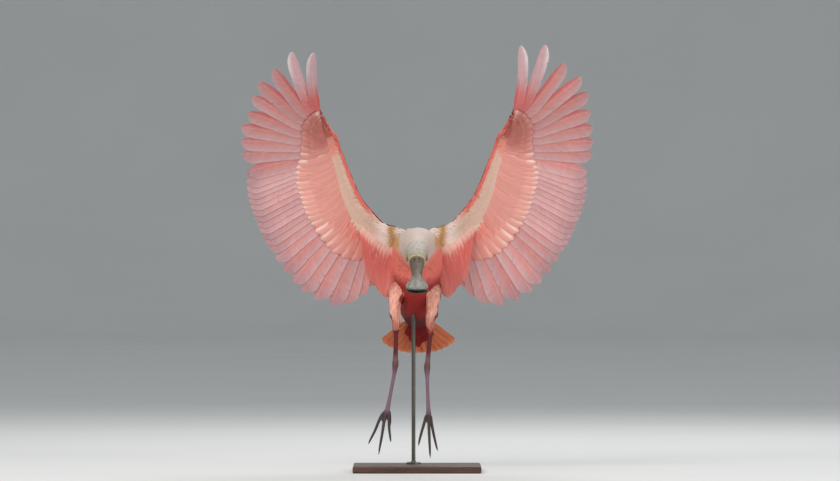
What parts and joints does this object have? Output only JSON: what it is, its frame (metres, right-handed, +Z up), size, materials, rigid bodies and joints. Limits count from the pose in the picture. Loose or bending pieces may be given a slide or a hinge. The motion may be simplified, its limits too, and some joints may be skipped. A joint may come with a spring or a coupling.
{
  "type": "roseate spoonbill bird model on a display stand",
  "caption": "Long-legged wading bird with a spoon-shaped bill, braking in flight with both wings raised and swung forward and legs hanging, held by a rod on a flat base.",
  "frame": {"origin": "centre of the stand base's underside, on the surface that the stand rests on", "axes": "+Z up, -Y the way the bird faces and flies, +X towards the bird's left wing"},
  "size_m": [0.8014, 0.5711, 0.9644],
  "materials": {
    "feathers_pink": "soft matt contour and flight feathers, pink to carmine",
    "feathers_white": "soft matt off-white feathers",
    "feathers_tail": "matt orange-tawny feathers with crimson coverts",
    "head_skin": "bare wrinkled greenish-grey skin",
    "bill_horn": "satin horn, grey with dark mottles and a dark rim",
    "eye": "wet glossy dark red",
    "leg_skin": "scaled skin, dull red",
    "foot_skin": "scaled skin, dark grey-brown",
    "stand_wood": "dark stained satin hardwood",
    "stand_metal": "dark satin steel"
  },
  "bodies": {
    "root": {"head": "head_skin", "bill_upper": "bill_horn", "bill_lower": "bill_horn", "eye_left": "eye", "eye_right": "eye", "neck": "feathers_white", "torso": "feathers_pink", "tail": "feathers_tail", "wing_left_arm": "feathers_pink", "wing_left_forearm": "feathers_pink", "wing_left_hand": "feathers_pink", "wing_right_arm": "feathers_pink", "wing_right_forearm": "feathers_pink", "wing_right_hand": "feathers_pink", "leg_left_thigh": "feathers_pink", "leg_left_shank": "leg_skin", "leg_left_tarsus": "leg_skin", "foot_left": "foot_skin", "leg_right_thigh": "feathers_pink", "leg_right_shank": "leg_skin", "leg_right_tarsus": "leg_skin", "foot_right": "foot_skin", "stand_base": "stand_wood", "stand_rod": "stand_metal"}
  },
  "joints": []
}
